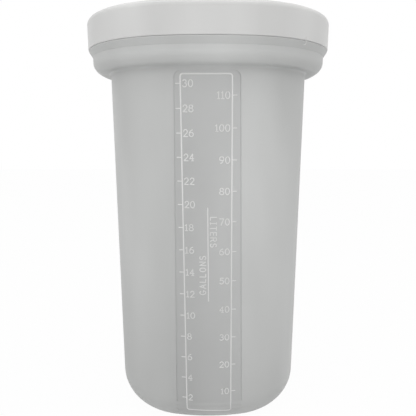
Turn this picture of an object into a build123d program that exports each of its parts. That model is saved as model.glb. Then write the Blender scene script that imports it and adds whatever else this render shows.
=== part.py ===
from build123d import *
import math
import os

# Chemical tank of moulded polyethylene with a lift-off slip-over cover, in millimetres.
# The origin is the middle of the base, and +Z is up. The front, with the scale, faces -Y.

# Plan outline of the body at the base: four gently bowed sides joined by large round corners
half_width = 217.5
side_bow_radius = 445.0
corner_radius = 161.5
outline_arcs = 8

# Tank
wall = 5.0
bottom_radius = 79.0
draft_per_mm = 0.007
foot_width = 16.0
floor_rise = 8.0
floor_rise_slope = 12.0
floor_rise_radius = 5.0
underside_height = 790.0
junction_radius = 5.0
collar_overhang = 37.0
collar_edge_radius = 20.0
collar_height = 31.5
flare_height = 14.0
flare_overhang = 9.0
ledge_edge_radius = 1.6
neck_height = 34.0
neck_edge_radius = 2.0

# Cover
cover_wall = 5.0
cover_clearance = 1.5
cover_height = 62.5
cover_edge_radius = 12.0
skirt_edge_radius = 1.6

# Plan outsets, measured outward from the base outline
draft_growth = draft_per_mm * underside_height
collar_outset = draft_growth + collar_overhang
rim_outset = collar_outset + flare_overhang
cover_inner_outset = rim_outset - cover_wall
neck_outset = cover_inner_outset - cover_clearance
mouth_outset = neck_outset - wall
foot_outset = -bottom_radius - foot_width

# Heights above the base
flare_start = underside_height + collar_height
ledge_level = flare_start + flare_height
neck_top = ledge_level + neck_height
cover_top = ledge_level + cover_height


def outline(outset, level):
    """Face of the plan outline, every arc moved outward by outset about its own centre."""
    back = side_bow_radius - half_width
    reach = side_bow_radius - corner_radius
    middle = (math.sqrt(2 * reach**2 - back**2) - back) / 2
    half_angle = math.degrees(math.atan2(middle, middle + back))
    side = CenterArc((-back, 0), side_bow_radius + outset, -half_angle, 2 * half_angle)
    corner = CenterArc((middle, middle), corner_radius + outset, half_angle, 90 - 2 * half_angle)
    turns = [Rot(0, 0, turn) for turn in (0, 90, 180, 270)]
    return Pos(0, 0, level) * make_face([turn * arc for turn in turns for arc in (side, corner)])


def band(low_outset, high_outset, low, high):
    """Solid between two heights inside the outline, straight or drafted."""
    if low_outset == high_outset:
        return extrude(outline(low_outset, low), high - low)
    return loft([outline(low_outset, low), outline(high_outset, high)], ruled=True)


def rounded(solid, level, radius):
    """The solid with the loop of edges nearest the axis at one level rounded."""
    loops = solid.edges().filter_by_position(Axis.Z, level, level)
    return fillet(loops.sort_by_distance((0, 0, level))[:outline_arcs], radius)


def floor_recess(inset, level):
    """Raised middle of the floor, so that the tank stands on a ring."""
    low = foot_outset + inset
    recess = band(low, low - floor_rise_slope, level, level + floor_rise)
    return rounded(recess, level + floor_rise, floor_rise_radius)


def body_and_collar(inset):
    """Closed form of the body under the collar, outside (inset 0) or inside the wall."""
    underside = underside_height + inset
    body = band(-inset, draft_growth - inset, inset, underside)
    body = rounded(body, inset, bottom_radius - inset)
    body = body - floor_recess(inset, inset)
    collar = band(collar_outset - inset, collar_outset - inset, underside, flare_start)
    collar = rounded(collar, underside, collar_edge_radius - inset)
    return rounded(body + collar, underside, junction_radius + inset)


def tank():
    """Tank with its floor, drafted body, flat underside, collar, flare, ledge and neck."""
    flare = band(collar_outset, rim_outset, flare_start, ledge_level)
    flare = rounded(flare, ledge_level, ledge_edge_radius)
    neck = band(neck_outset, neck_outset, ledge_level, neck_top)
    neck = rounded(neck, neck_top, neck_edge_radius)
    throat = band(collar_outset - wall, mouth_outset, flare_start, ledge_level)
    mouth = band(mouth_outset, mouth_outset, ledge_level, neck_top)
    return body_and_collar(0) + flare + neck - (body_and_collar(wall) + throat + mouth)


def cover():
    """Cover with a flat top, a rounded edge and a skirt that stands on the tank's ledge."""
    shell = band(rim_outset, rim_outset, ledge_level, cover_top)
    shell = rounded(shell, cover_top, cover_edge_radius)
    shell = rounded(shell, ledge_level, skirt_edge_radius)
    inner_top = cover_top - cover_wall
    hollow = band(cover_inner_outset, cover_inner_outset, ledge_level, inner_top)
    return shell - rounded(hollow, inner_top, cover_edge_radius - cover_wall)


os.makedirs("parts", exist_ok=True)
for name, piece in {"tank": tank(), "cover": cover()}.items():
    piece.label = name
    export_step(piece, f"parts/{name}.step")
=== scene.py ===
import math

import bpy
import numpy as np
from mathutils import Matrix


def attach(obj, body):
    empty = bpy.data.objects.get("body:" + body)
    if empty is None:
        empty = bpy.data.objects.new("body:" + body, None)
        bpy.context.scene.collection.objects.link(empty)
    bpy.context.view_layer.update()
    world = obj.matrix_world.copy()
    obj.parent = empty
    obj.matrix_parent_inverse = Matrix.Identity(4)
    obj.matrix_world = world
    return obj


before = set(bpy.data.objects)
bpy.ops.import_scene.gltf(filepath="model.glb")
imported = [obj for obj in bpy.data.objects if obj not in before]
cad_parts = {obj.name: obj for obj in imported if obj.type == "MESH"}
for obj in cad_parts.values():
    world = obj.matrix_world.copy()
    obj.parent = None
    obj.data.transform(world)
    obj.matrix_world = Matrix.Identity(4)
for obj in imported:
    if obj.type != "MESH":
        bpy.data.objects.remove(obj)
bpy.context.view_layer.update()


# ---------------------------------------------------------------- Tank
# One rotational moulding in natural polyethylene, a milky white plastic with a 5 mm wall.
# It is cast against the inside of a sand-blasted mould, so it is satin with a fine orange
# peel, and its wall lets a little light through in soft clouds where it is thinner.

def linear(hex_colour):
    """sRGB hex value turned to linear: c/12.92 near black, else ((c + 0.055) / 1.055) ^ 2.4."""
    parts = np.array([int(hex_colour[i:i + 2], 16) for i in (1, 3, 5)]) / 255
    low, high = parts / 12.92, ((parts + 0.055) / 1.055) ** 2.4
    return (*np.where(parts <= 0.04045, low, high).tolist(), 1.0)


def add_node(tree, kind, inputs=None, **settings):
    """Adds one node: its settings by name, its inputs by value or from another node's output."""
    node = tree.nodes.new(kind)
    for name, value in settings.items():
        setattr(node, name, value)
    for name, value in (inputs or {}).items():
        if isinstance(value, bpy.types.NodeSocket):
            tree.links.new(value, node.inputs[name])
        else:
            node.inputs[name].default_value = value
    return node


# Painted shade towards the tank's base: how far the colour falls there, and the height in metres
# where the fall starts.
painted_base_shade, painted_shade_height = 0.86, 0.6


def moulded_polyethylene(name, thin, thick, cloud_mm, peel_mm, grain_mm):
    """Satin translucent plastic: colour from slow upright clouds, bump from orange peel and grain.

    The colour falls to the painted base shade of itself at the base, in a straight line from the
    shade height in metres down: painted shade, for the overhead light that falls off lower down.
    """
    material = bpy.data.materials.new(name)
    material.use_nodes = True
    tree = material.node_tree
    tree.nodes.clear()
    place = add_node(tree, "ShaderNodeTexCoord").outputs["Object"]
    upright = add_node(tree, "ShaderNodeMapping", {"Vector": place, "Scale": (1.0, 1.0, 0.35)})
    clouds = add_node(tree, "ShaderNodeTexNoise", {
        "Vector": upright.outputs["Vector"], "Scale": 1000 / cloud_mm, "Detail": 2.0,
        "Roughness": 0.4})
    tone = add_node(tree, "ShaderNodeValToRGB", {"Fac": clouds.outputs["Fac"]})
    tone.color_ramp.elements[0].position = 0.36
    tone.color_ramp.elements[0].color = linear(thick)
    tone.color_ramp.elements[1].position = 0.66
    tone.color_ramp.elements[1].color = linear(thin)
    peel = add_node(tree, "ShaderNodeTexNoise", {
        "Vector": place, "Scale": 1000 / peel_mm, "Detail": 1.0, "Roughness": 0.4})
    grain = add_node(tree, "ShaderNodeTexNoise", {
        "Vector": place, "Scale": 1000 / grain_mm, "Detail": 2.0, "Roughness": 0.55})
    peel_bump = add_node(tree, "ShaderNodeBump", {
        "Height": peel.outputs["Fac"], "Strength": 0.12, "Distance": 0.0006})
    grain_bump = add_node(tree, "ShaderNodeBump", {
        "Height": grain.outputs["Fac"], "Normal": peel_bump.outputs["Normal"],
        "Strength": 0.16, "Distance": 0.0003})
    satin = add_node(tree, "ShaderNodeMapRange", {
        "Value": grain.outputs["Fac"], "From Min": 0.3, "From Max": 0.7,
        "To Min": 0.44, "To Max": 0.56})
    height = add_node(tree, "ShaderNodeSeparateXYZ", {"Vector": place})
    # Painted shade: the colour darkens in a straight line towards the base.
    painted_base_falloff = add_node(tree, "ShaderNodeMapRange", {
        "Value": height.outputs["Z"], "From Min": 0.0, "From Max": painted_shade_height,
        "To Min": painted_base_shade, "To Max": 1.0})
    shade = add_node(tree, "ShaderNodeVectorMath", {
        0: tone.outputs["Color"], 1: painted_base_falloff.outputs["Result"]}, operation="MULTIPLY")
    plastic = add_node(tree, "ShaderNodeBsdfPrincipled", {
        "Base Color": shade.outputs["Vector"], "Roughness": satin.outputs["Result"],
        "IOR": 1.51, "Normal": grain_bump.outputs["Normal"],
        "Subsurface Weight": 0.25, "Subsurface Radius": (1.0, 1.0, 0.97),
        "Subsurface Scale": 0.008})
    add_node(tree, "ShaderNodeOutputMaterial", {"Surface": plastic.outputs["BSDF"]})
    return material


def dress(node, material):
    """Puts one material on every slot of a CAD node."""
    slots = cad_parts[node].data.materials
    slots.clear()
    slots.append(material)


tank_plastic = moulded_polyethylene(
    "natural_polyethylene_moulded", "#CDCECD", "#BEBFBE", cloud_mm=190, peel_mm=5, grain_mm=1.6)
dress("tank", tank_plastic)


# ---------------------------------------------------------------- Cover
# A second moulding of the same plastic, given a paler copy of the tank's colour as painted light:
# the cover stands higher in the overhead light, while the tank's upper body lies in shade. Its
# skirt slips over the tank's neck and stands on the ledge.

# Painted light: the cover's colours are the tank's plastic made paler.
cover_plastic_painted_lit = moulded_polyethylene(
    "white_polyethylene_painted_lit", "#D9D9D8", "#CDCDCC", cloud_mm=150, peel_mm=6, grain_mm=1.8)
dress("cover", cover_plastic_painted_lit)


# ---------------------------------------------------------------- Scale: pad and frame
# The scale is moulded into the front from an insert in the mould: a pad hardly proud of the
# wall, and raised lines that look paler than the wall, because a sharp rise in the mould
# packs them solid. It stands a little out of plumb, as the insert was set.

half_width, side_bow_radius, draft_per_mm, bottom_radius = 217.5, 445.0, 0.007, 79.0
scale_top, scale_bottom = 774.3, 48.0
pad_top, pad_bottom, pad_corner = 781.0, 37.0, 13.0


def on_front(across, height, rise):
    """Point in metres that stands rise mm off the front at a place across and up it in mm.

    The front is an arc of side_bow_radius plus the draft's growth about a centre on the
    middle plane, less what the bottom's quarter circle takes off below bottom_radius. Rise
    goes square to that profile, and across turns to an angle by arcsine.
    """
    below = bottom_radius - np.clip(height, 0, bottom_radius)
    level = np.sqrt(bottom_radius ** 2 - below ** 2)
    radius = side_bow_radius + draft_per_mm * height - bottom_radius + level
    angle = np.arcsin(across / radius)
    out = radius + rise * level / bottom_radius
    x, y = out * np.sin(angle), side_bow_radius - half_width - out * np.cos(angle)
    return np.stack([x, y, height - rise * below / bottom_radius + 0 * x], axis=-1) / 1000


def raised(path, width, profile, round_ends=True):
    """Closed rib along a path of places on the front: vertices and faces.

    Each point of the path carries the profile, pairs of a share of half the width and a
    rise, square to the path's direction. Round ends shrink the last rings by the sine of
    an arc and move them out along the path by its cosine.
    """
    path = np.asarray(path, float)
    width = np.broadcast_to(np.asarray(width, float), len(path))
    along = np.gradient(path, axis=0)
    along /= np.linalg.norm(along, axis=1)[:, None]
    if round_ends:
        arc = np.radians([15, 40, 65])
        reach, share = np.cos(arc)[:, None] * width[0] / 2, np.sin(arc) * width[0]
        path = np.vstack([path[:1] - reach * along[:1], path, path[-1:] + reach[::-1] * along[-1:]])
        width = np.concatenate([share, width, share[::-1]])
        along = np.vstack([along[:1].repeat(3, 0), along, along[-1:].repeat(3, 0)])
    side = np.stack([along[:, 1], -along[:, 0]], axis=1)
    across = path[:, None] + side[:, None] * (width[:, None] / 2 * profile[:, 0])[..., None]
    points = on_front(across[..., 0], across[..., 1], profile[:, 1] + 0 * across[..., 0])
    rings, around = len(path), len(profile)
    i, j = np.meshgrid(np.arange(rings - 1), np.arange(around), indexing="ij")
    k = (j + 1) % around
    here, ahead = i * around, (i + 1) * around
    quads = np.stack([here + j, here + k, ahead + k, ahead + j], -1)
    caps = [list(range(around))[::-1], list(range((rings - 1) * around, rings * around))]
    return points.reshape(-1, 3), quads.reshape(-1, 4).tolist() + caps


def closed_rib(path, width, profile):
    """Rib along a closed path: the first ring follows the last, so that it has no ends."""
    path = np.asarray(path, float)
    along = np.roll(path, -1, 0) - np.roll(path, 1, 0)
    along /= np.linalg.norm(along, axis=1)[:, None]
    side = np.stack([along[:, 1], -along[:, 0]], axis=1)
    across = path[:, None] + side[:, None] * (width / 2 * profile[:, 0])[None, :, None]
    points = on_front(across[..., 0], across[..., 1], profile[:, 1] + 0 * across[..., 0])
    rings, around = len(path), len(profile)
    i, j = np.meshgrid(np.arange(rings), np.arange(around), indexing="ij")
    n, k = (i + 1) % rings, (j + 1) % around
    quads = np.stack([i * around + j, i * around + k, n * around + k, n * around + j], -1)
    return points.reshape(-1, 3), quads.reshape(-1, 4).tolist()


def half_round(rise, sunk=0.5, steps=6):
    """Profile of a rib: an ellipse's upper half over a foot that is sunk in the wall."""
    turn = np.linspace(0, math.pi, steps + 1)
    top = np.stack([np.cos(turn), rise * np.sin(turn)], axis=1)
    return np.vstack([top, [[-1, -sunk], [1, -sunk]]])


def moulded_piece(name, ribs, material):
    """One object from several ribs, that rides on the tank."""
    starts = np.cumsum([0] + [len(points) for points, _ in ribs[:-1]])
    faces = [[int(start) + corner for corner in face]
             for start, (_, rib_faces) in zip(starts, ribs) for face in rib_faces]
    mesh = bpy.data.meshes.new(name)
    mesh.from_pydata(np.vstack([points for points, _ in ribs]).tolist(), [], faces)
    mesh.polygons.foreach_set("use_smooth", [True] * len(mesh.polygons))
    mesh.materials.append(material)
    mesh.update()
    piece = bpy.data.objects.new(name, mesh)
    bpy.context.scene.collection.objects.link(piece)
    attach(piece, "tank")
    return piece


def straight(start, end, step=6.0):
    """Points on a straight line, about step mm apart."""
    start, end = np.array(start, float), np.array(end, float)
    count = max(3, int(np.linalg.norm(end - start) / step) + 1)
    return start + (end - start) * np.linspace(0, 1, count)[:, None]


def rounded_frame(left_top, right_top, right_bottom, left_bottom, radius):
    """Closed path round four corners: straight runs joined by quarter arcs of one radius."""
    corners = np.array([left_top, right_top, right_bottom, left_bottom], float)
    runs = []
    for i in range(4):
        here, before, after = corners[i], corners[i - 1], corners[(i + 1) % 4]
        into, out = here - before, after - here
        into, out = into / np.linalg.norm(into), out / np.linalg.norm(out)
        turn = np.linspace(0, math.pi / 2, 7)[:, None]
        centre = here - into * radius + out * radius
        runs.append(centre + radius * (into * np.sin(turn) - out * np.cos(turn)))
        runs.append(straight(runs[-1][-1], after - out * radius)[1:-1])
    return np.vstack(runs)


raised_plastic = moulded_polyethylene(
    "polyethylene_raised_lines", "#EFEFEE", "#E8E8E7", cloud_mm=60, peel_mm=5, grain_mm=1.6)

turn = np.radians(np.linspace(0, 90, 10))
pad_heights = np.concatenate([pad_bottom + pad_corner * (1 - np.cos(turn)),
                              np.linspace(pad_bottom, pad_top, 62)[2:-2],
                              pad_top - pad_corner * (1 - np.cos(turn[::-1]))])
pad_end = np.minimum(pad_heights - pad_bottom, pad_top - pad_heights).clip(0, pad_corner)
pad_width = (np.interp(pad_heights, [60, 766], [146, 130])
             - 2 * (pad_corner - np.sqrt(pad_corner ** 2 - (pad_corner - pad_end) ** 2)))
pad_middle = np.interp(pad_heights, [60, 766], [2.6, -1.4])
pad_across = np.linspace(1, -1, 41)
pad_rise = 0.12 * np.minimum(1, (1 - np.abs(pad_across)) / 0.05)
pad_profile = np.vstack([np.stack([pad_across, pad_rise], 1),
                         np.stack([pad_across[::-1], np.full(41, -0.5)], 1)])
moulded_piece("scale_pad", [raised(np.stack([pad_middle, pad_heights], axis=1), pad_width,
                                   pad_profile, round_ends=False)], tank_plastic)

left_line_top, right_line_top = -53.6, 46.9
left_line_bottom, right_line_bottom = -46.7, 50.8
line_profile = half_round(1.0)
frame_line = rounded_frame((left_line_top, scale_top), (right_line_top, scale_top),
                           (right_line_bottom, scale_bottom - 1.8),
                           (left_line_bottom, scale_bottom + 1.8), radius=5.0)
middle_line = straight((-0.6, 512.8), (1.1, 312.3))
moulded_piece("scale_frame", [closed_rib(frame_line, 3.0, line_profile),
                              raised(middle_line, 2.5, line_profile)], raised_plastic)


# ---------------------------------------------------------------- Scale: marks
# Short raised ticks outside the frame, every 2 gallons on the left and 10 litres on the
# right. They stand where the tank's inside holds each volume, so that they draw together
# a little towards the top, where the tank is wider.

plan_area, plan_perimeter, wall = 160426.0, 1427.5, 5.0
empty_level = 34.4
litres_per_gallon = 3.78541178
tick_length, tick_width, stroke_rise = 9.0, 2.2, 0.9


def volume_level(litres):
    """Height in mm at which the tank holds some litres.

    The inside's area at a height is the base plan's area, plus its perimeter times the
    outset there, plus pi times the outset squared; its running sum over height is volume.
    """
    heights = np.arange(empty_level, 820.0, 0.5)
    outset = draft_per_mm * heights - wall
    area = plan_area + plan_perimeter * outset + math.pi * outset ** 2
    held = np.concatenate([[0], np.cumsum((area[1:] + area[:-1]) / 2 * 0.5)]) / 1e6
    return np.interp(litres, held, heights)


def side_line(height, top, bottom):
    """Where one side of the frame is at a height."""
    return np.interp(height, [scale_bottom, scale_top], [bottom, top])


gallon_steps, litre_steps = np.arange(2, 31, 2), np.arange(10, 111, 10)
gallon_levels = volume_level(gallon_steps * litres_per_gallon)
litre_levels = volume_level(litre_steps.astype(float))
ticks = []
for level in gallon_levels:
    line = float(side_line(level, left_line_top, left_line_bottom))
    ticks.append(raised(straight((line - tick_length, level), (line, level), 2.0),
                        tick_width, half_round(stroke_rise)))
for level in litre_levels:
    line = float(side_line(level, right_line_top, right_line_bottom))
    ticks.append(raised(straight((line, level), (line + tick_length, level), 2.0),
                        tick_width, half_round(stroke_rise)))
moulded_piece("scale_ticks", ticks, raised_plastic)


# ---------------------------------------------------------------- Scale: numbers and unit words
# Plain single-stroke lettering, as it is cut into a mould with one round-nosed cutter, so
# that every line has the same width and round ends.

def bow(x, y, half_wide, half_high, start, end, steps=16):
    """Arc of an ellipse between two angles in degrees, in a letter's own units."""
    turn = np.radians(np.linspace(start, end, steps))
    return np.stack([x + half_wide * np.cos(turn), y + half_high * np.sin(turn)], axis=1)


def stroke(*corners):
    """Straight strokes through some corners, in a letter's own units."""
    return [np.array(pair, float) for pair in zip(corners[:-1], corners[1:])]


letters = {
    "0": (0.62, [bow(0.31, 0.5, 0.31, 0.5, 90, 450, 32)]),
    "1": (0.34, stroke((0.0, 0.82), (0.17, 1.0), (0.17, 0.0)) + stroke((0.0, 0.0), (0.34, 0.0))),
    "2": (0.6, [np.vstack([bow(0.3, 0.71, 0.28, 0.29, 165, -38), [[0.0, 0.0]]])]
          + stroke((0.0, 0.0), (0.6, 0.0))),
    "3": (0.6, [bow(0.29, 0.76, 0.26, 0.24, 150, -90), bow(0.29, 0.26, 0.3, 0.26, 90, -150)]),
    "4": (0.6, stroke((0.44, 0.0), (0.44, 1.0), (0.0, 0.3), (0.6, 0.3))
          + stroke((0.3, 0.0), (0.58, 0.0))),
    "5": (0.6, stroke((0.54, 1.0), (0.1, 1.0), (0.06, 0.56))
          + [bow(0.28, 0.33, 0.31, 0.33, 132, -145)]),
    "6": (0.62, [bow(0.31, 0.3, 0.31, 0.3, 90, 450, 28), bow(0.62, 0.3, 0.62, 0.7, 180, 104)]),
    "7": (0.6, stroke((0.0, 1.0), (0.6, 1.0), (0.2, 0.0))),
    "8": (0.62, [bow(0.31, 0.76, 0.25, 0.24, 90, 450, 26),
                 bow(0.31, 0.26, 0.31, 0.26, 90, 450, 28)]),
    "9": (0.62, [bow(0.31, 0.7, 0.31, 0.3, 90, 450, 28), bow(0.0, 0.7, 0.62, 0.7, 0, -76)]),
    "A": (0.66, stroke((0.0, 0.0), (0.33, 1.0), (0.66, 0.0)) + stroke((0.12, 0.34), (0.54, 0.34))),
    "E": (0.5, stroke((0.5, 1.0), (0.0, 1.0), (0.0, 0.0), (0.5, 0.0))
          + stroke((0.0, 0.52), (0.42, 0.52))),
    "G": (0.66, [bow(0.34, 0.5, 0.34, 0.5, 50, 345, 26)] + stroke((0.42, 0.42), (0.66, 0.42))),
    "I": (0.26, stroke((0.13, 1.0), (0.13, 0.0)) + stroke((0.0, 1.0), (0.26, 1.0))
          + stroke((0.0, 0.0), (0.26, 0.0))),
    "L": (0.5, stroke((0.0, 1.0), (0.0, 0.0), (0.5, 0.0))),
    "N": (0.6, stroke((0.0, 0.0), (0.0, 1.0), (0.6, 0.0), (0.6, 1.0))),
    "O": (0.64, [bow(0.32, 0.5, 0.32, 0.5, 90, 450, 32)]),
    "R": (0.58, stroke((0.0, 0.0), (0.0, 1.0), (0.3, 1.0)) + [bow(0.3, 0.76, 0.26, 0.24, 90, -90)]
          + stroke((0.3, 0.52), (0.0, 0.52)) + stroke((0.26, 0.52), (0.58, 0.0))),
    "S": (0.56, [np.vstack([bow(0.29, 0.75, 0.26, 0.25, 40, 270),
                            bow(0.28, 0.25, 0.28, 0.25, 90, -150)])]),
    "T": (0.56, stroke((0.0, 1.0), (0.56, 1.0)) + stroke((0.28, 1.0), (0.28, 0.0))),
}


def lettering(text, start, height, gap, turned=0, line_width=2.1):
    """Ribs of a word: letters side by side from start, turned by quarter turns about it."""
    across, up = [((1, 0), (0, 1)), ((0, 1), (-1, 0)), None, ((0, -1), (1, 0))][turned]
    ribs, run = [], 0.0
    for letter in text:
        wide, strokes = letters[letter]
        for line in strokes:
            place = (np.array(start) + np.outer(run + line[:, 0] * height, across)
                     + np.outer(line[:, 1] * height, up))
            if len(place) == 2:
                place = straight(place[0], place[1], 3.0)
            ribs.append(raised(place, line_width, half_round(stroke_rise)))
        run += (wide + gap) * height
    return ribs, run - gap * height


number_height, number_gap, left_gap, right_gap = 13.2, 0.26, 4.4, 4.9
gallon_numbers, litre_numbers = [], []
for gallons, level in zip(gallon_steps, gallon_levels):
    start = float(side_line(level, left_line_top, left_line_bottom)) + left_gap
    gallon_numbers += lettering(str(gallons), (start, level - number_height / 2),
                                number_height, number_gap)[0]
for litres, level in zip(litre_steps, litre_levels):
    width = lettering(str(litres), (0, 0), number_height, number_gap)[1]
    start = float(side_line(level, right_line_top, right_line_bottom)) - right_gap - width
    litre_numbers += lettering(str(litres), (start, level - number_height / 2),
                               number_height, number_gap)[0]
moulded_piece("scale_gallon_numbers", gallon_numbers, raised_plastic)
moulded_piece("scale_litre_numbers", litre_numbers, raised_plastic)
words = (lettering("LITERS", (4.9, 493.4), 12.4, 0.42, turned=3)[0]
         + lettering("GALLONS", (-4.7, 326.8), 12.4, 0.44, turned=1)[0])
moulded_piece("scale_unit_words", words, raised_plastic)


# ---------------------------------------------------------------- Trim flash on the cover
# Where the cover was cut free of its moulding with a knife, a thin curl of the same
# plastic still hangs from the skirt's lower edge, with a small spur beside it.

corner_middle, rim_corner_radius, skirt_level = 51.32, 213.03, 835.5


def on_rim(turn, height, rise):
    """Point in metres rise mm off the skirt's front right corner, turn degrees round it."""
    turn = np.radians(turn)
    x = corner_middle + (rim_corner_radius + rise) * np.cos(turn)
    y = -corner_middle - (rim_corner_radius + rise) * np.sin(turn)
    return np.stack([x, y, height + 0 * x], axis=-1) / 1000


def thin_strip(name, turns, heights, rises, half_thick):
    """Closed thin strip along a centre line, that half_thick draws in towards its ends.

    Arrays run along the strip, and each ring is a hexagon of that half thickness.
    """
    ring = np.radians(np.arange(0, 360, 60))
    wide = half_thick[:, None] * np.cos(ring)
    points = on_rim(turns[:, None] + 0 * wide, heights[:, None] + wide,
                    rises[:, None] + half_thick[:, None] * np.sin(ring))
    rings, around = len(turns), len(ring)
    i, j = np.meshgrid(np.arange(rings - 1), np.arange(around), indexing="ij")
    k = (j + 1) % around
    here, ahead = i * around, (i + 1) * around
    quads = np.stack([here + j, ahead + j, ahead + k, here + k], -1)
    caps = [list(range(around)), list(range((rings - 1) * around, rings * around))[::-1]]
    mesh = bpy.data.meshes.new(name)
    mesh.from_pydata(points.reshape(-1, 3).tolist(), [], quads.reshape(-1, 4).tolist() + caps)
    mesh.polygons.foreach_set("use_smooth", [True] * len(mesh.polygons))
    mesh.materials.append(cover_plastic_painted_lit)
    mesh.update()
    piece = bpy.data.objects.new(name, mesh)
    bpy.context.scene.collection.objects.link(piece)
    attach(piece, "cover")
    return piece


curl_turn, curl_share = 52.6, np.linspace(0, 1, 28)
curl_angle = np.radians(200 * curl_share + 90)
thin_strip("trim_curl",
           turns=curl_turn + 1.35 * np.cos(curl_angle),
           heights=skirt_level - 4.2 + 5.0 * np.sin(curl_angle),
           rises=0.6 + 1.2 * np.sin(math.pi * curl_share),
           half_thick=0.7 * np.sin(math.pi * (0.08 + 0.84 * curl_share)) ** 0.5)
spur_share = np.linspace(0, 1, 10)
thin_strip("trim_spur",
           turns=curl_turn - 1.6 + 0.2 * spur_share,
           heights=skirt_level + 0.4 + 6.0 * spur_share,
           rises=0.2 + 0.5 * spur_share,
           half_thick=0.8 * (1 - spur_share) + 0.15)


# ---------------------------------------------------------------- Floor and backdrop
# A plain matt sweep that looks white to the eye and still takes the tank's soft shadow.

floor_mesh = bpy.data.meshes.new("floor")
floor_mesh.from_pydata([(-6, -6, 0), (6, -6, 0), (6, 6, 0), (-6, 6, 0)], [], [(0, 1, 2, 3)])
floor = bpy.data.objects.new("floor", floor_mesh)
bpy.context.scene.collection.objects.link(floor)
floor_paint = bpy.data.materials.new("matt_white_sweep")
floor_paint.use_nodes = True
floor_tree = floor_paint.node_tree
floor_tree.nodes.clear()
floor_path = add_node(floor_tree, "ShaderNodeLightPath")
floor_glossy = add_node(floor_tree, "ShaderNodeMath", {
    0: floor_path.outputs["Is Glossy Ray"], 1: floor_path.outputs["Is Transmission Ray"]},
    operation="MAXIMUM")
floor_seen = add_node(floor_tree, "ShaderNodeMath", {
    0: floor_path.outputs["Is Camera Ray"], 1: floor_glossy.outputs[0]}, operation="MAXIMUM")
floor_share = add_node(floor_tree, "ShaderNodeMath", {
    0: floor_seen.outputs[0], 1: 0.97}, operation="MULTIPLY")
floor_matt = add_node(floor_tree, "ShaderNodeBsdfDiffuse", {"Color": linear("#E6E6E6")})
floor_white = add_node(floor_tree, "ShaderNodeEmission", {
    "Color": linear("#FFFFFF"), "Strength": 1.0})
floor_mix = add_node(floor_tree, "ShaderNodeMixShader", {
    0: floor_share.outputs[0], 1: floor_matt.outputs["BSDF"], 2: floor_white.outputs["Emission"]})
add_node(floor_tree, "ShaderNodeOutputMaterial", {"Surface": floor_mix.outputs["Shader"]})
floor_mesh.materials.append(floor_paint)

world = bpy.data.worlds.new("white_studio")
bpy.context.scene.world = world
world.use_nodes = True
sky_tree = world.node_tree
sky_tree.nodes.clear()
sky_path = add_node(sky_tree, "ShaderNodeLightPath")
sky_glossy = add_node(sky_tree, "ShaderNodeMath", {
    0: sky_path.outputs["Is Glossy Ray"], 1: sky_path.outputs["Is Transmission Ray"]},
    operation="MAXIMUM")
sky_seen = add_node(sky_tree, "ShaderNodeMath", {
    0: sky_path.outputs["Is Camera Ray"], 1: sky_glossy.outputs[0]}, operation="MAXIMUM")
sky_strength = add_node(sky_tree, "ShaderNodeMapRange", {
    "Value": sky_seen.outputs[0], "To Min": 0.82, "To Max": 1.0})
sky = add_node(sky_tree, "ShaderNodeBackground", {
    "Color": linear("#FFFFFF"), "Strength": sky_strength.outputs["Result"]})
add_node(sky_tree, "ShaderNodeOutputWorld", {"Surface": sky.outputs["Background"]})


# ---------------------------------------------------------------- Light and camera
# Two wide soft lamps, one overhead and one in front on the left, and the camera
# at the photograph's place, a little above the middle of the tank and looking down.

def softbox(name, place, aim, size, watts):
    """Square area lamp turned so that its face looks at a point."""
    data = bpy.data.lights.new(name, "AREA")
    data.shape, data.size, data.energy = "SQUARE", size, watts
    lamp = bpy.data.objects.new(name, data)
    bpy.context.scene.collection.objects.link(lamp)
    toward = np.array(aim, float) - np.array(place, float)
    flat = math.hypot(toward[0], toward[1])
    lamp.location = place
    lamp.rotation_euler = (math.atan2(flat, -toward[2]), 0.0, math.atan2(-toward[0], toward[1]))
    return lamp


softbox("ceiling_softbox", (0.0, -0.5, 2.6), (0.0, 0.0, 0.75), 1.8, 12)
softbox("front_softbox", (-0.4, -2.6, 1.6), (0.0, 0.0, 0.5), 1.6, 8)

camera_data = bpy.data.cameras.new("photo_camera")
camera_data.sensor_width = 36.0
camera_data.lens = 36.67
camera = bpy.data.objects.new("photo_camera", camera_data)
camera.location = (0.0, -1.0643, 0.6717)
camera.rotation_euler = (math.radians(79.33), 0.0, 0.0)
bpy.context.scene.collection.objects.link(camera)
bpy.context.scene.camera = camera
bpy.context.scene.view_settings.view_transform = "Standard"
